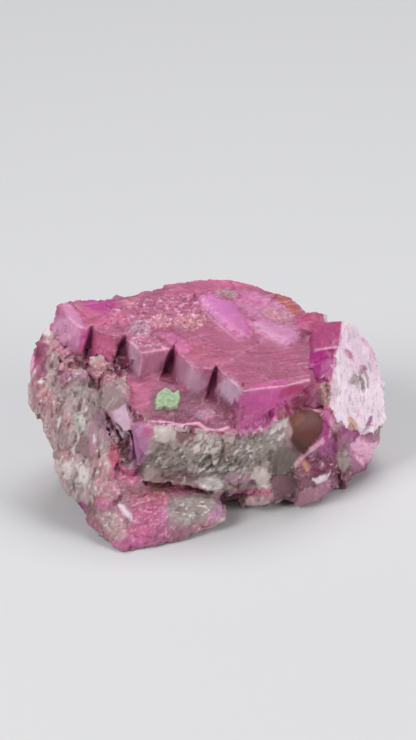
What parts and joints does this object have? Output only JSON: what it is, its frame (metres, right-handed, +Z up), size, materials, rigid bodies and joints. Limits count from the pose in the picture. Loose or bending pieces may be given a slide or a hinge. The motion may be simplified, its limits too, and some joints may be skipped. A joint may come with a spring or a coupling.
{
  "type": "cobaltoan calcite specimen",
  "caption": "Hand-sized mineral specimen: a stepped cap of pink cobaltoan calcite crystals with a broken white-lilac end face on grey calcite, with a mint patch of malachite, resting on a flat break.",
  "frame": {"origin": "the centre of the bottom of the box around the whole specimen, on the surface that it rests on", "axes": "+Z up as it rests, +X to the right along its longest side, and the stepped front facing -Y"},
  "size_m": [0.0698, 0.0512, 0.0358],
  "materials": {
    "grey_calcite": "rough broken grey calcite with small glints",
    "pink_calcite": "pink to magenta crystal faces, satin with slight translucency",
    "broken_calcite": "pale lilac-white fresh break with magenta sides",
    "malachite": "dull mint green crust"
  },
  "bodies": {
    "root": {"matrix": "grey_calcite", "crystal_cap": "pink_calcite", "end_crystal": "broken_calcite", "malachite_patch": "malachite"}
  },
  "joints": []
}
